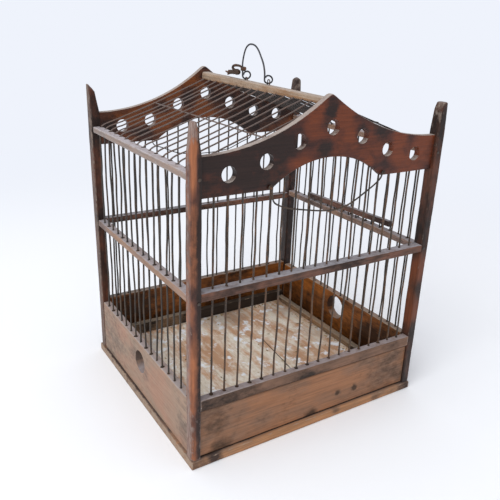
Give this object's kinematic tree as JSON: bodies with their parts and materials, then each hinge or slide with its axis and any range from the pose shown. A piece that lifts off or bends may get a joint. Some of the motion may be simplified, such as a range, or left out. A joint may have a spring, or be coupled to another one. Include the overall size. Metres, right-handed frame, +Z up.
{
  "type": "bird cage",
  "caption": "Old wooden bird cage with wire walls and roof, shaped pierced gables, a lift-up wire door, a pull-out tray and a wire bail on the ridge.",
  "frame": {"origin": "middle of the base board's underside", "axes": "+Z up, -Y towards the front with the tray, +X towards the right wall with the lift-up door"},
  "size_m": [0.293, 0.266, 0.389],
  "materials": {
    "dark_varnish": "old dark red-brown varnish, worn on the edges",
    "brown_varnish": "thin worn brown varnish with straight grain",
    "worn_wood": "varnish worn to grey-brown wood",
    "pale_wood": "bare handled wood, satin",
    "tan_board": "stained tan-brown board, scuffed",
    "limed_wood": "raw boards with a dried whitish film",
    "rusty_wire": "old iron wire with brown rust",
    "dark_wire": "dark grey oxidised wire",
    "rusty_tie": "twist of crusted rusty tie wire"
  },
  "bodies": {
    "cage": {"base_board": "tan_board", "post_front_left": "dark_varnish", "post_front_right": "dark_varnish", "post_back_left": "dark_varnish", "post_back_right": "dark_varnish", "gable_front": "dark_varnish", "gable_back": "dark_varnish", "ridge_beam": "pale_wood", "eave_rail_left": "worn_wood", "eave_rail_right": "worn_wood", "mid_rail_front": "brown_varnish", "mid_rail_back": "brown_varnish", "mid_rail_left": "worn_wood", "mid_rail_right": "brown_varnish", "lower_rail_front": "dark_varnish", "lower_board_back": "dark_varnish", "lower_board_left": "tan_board", "lower_board_right": "brown_varnish", "front_bars": "rusty_wire", "back_bars": "rusty_wire", "left_bars": "rusty_wire", "right_bars_front": "rusty_wire", "right_bars_back": "rusty_wire", "right_bars_upper": "rusty_wire", "roof_bars_left": "rusty_wire", "roof_bars_right": "rusty_wire", "arch_wire": "rusty_wire", "arch_nail_left": "dark_wire", "arch_nail_right": "dark_wire", "bail_staple_back": "dark_wire", "bail_staple_front": "dark_wire", "nail_mid_front_left": "dark_wire", "nail_mid_front_right": "dark_wire", "nail_mid_back_left": "dark_wire", "nail_mid_back_right": "dark_wire", "nail_eave_front_left": "dark_wire", "nail_eave_front_right": "dark_wire", "nail_eave_back_left": "dark_wire", "nail_eave_back_right": "dark_wire"},
    "tray": {"tray_front": "brown_varnish", "tray_plank_left": "limed_wood", "tray_plank_middle": "limed_wood", "tray_plank_right": "limed_wood", "tray_rim_left": "tan_board", "tray_rim_right": "tan_board", "tray_back_strip": "dark_varnish", "tray_cleat_front": "tan_board", "tray_cleat_back": "tan_board"},
    "door": {"door_bar": "brown_varnish", "door_wires": "rusty_wire"},
    "bail": {"bail_handle": "dark_wire", "bail_knot": "rusty_tie"}
  },
  "joints": [
    {"name": "tray_slide", "type": "slide", "parent": "cage", "child": "tray", "axis": [0, -1, 0], "range_m": [0, 0.235]},
    {"name": "door_slide", "type": "slide", "parent": "cage", "child": "door", "axis": [0, 0, 1], "range_m": [0, 0.084]},
    {"name": "bail_tilt", "type": "hinge", "parent": "cage", "child": "bail", "pos_m": [0, 0.0265, 0.35625], "axis": [0, 1, 0], "range_deg": [-45, 100]}
  ]
}
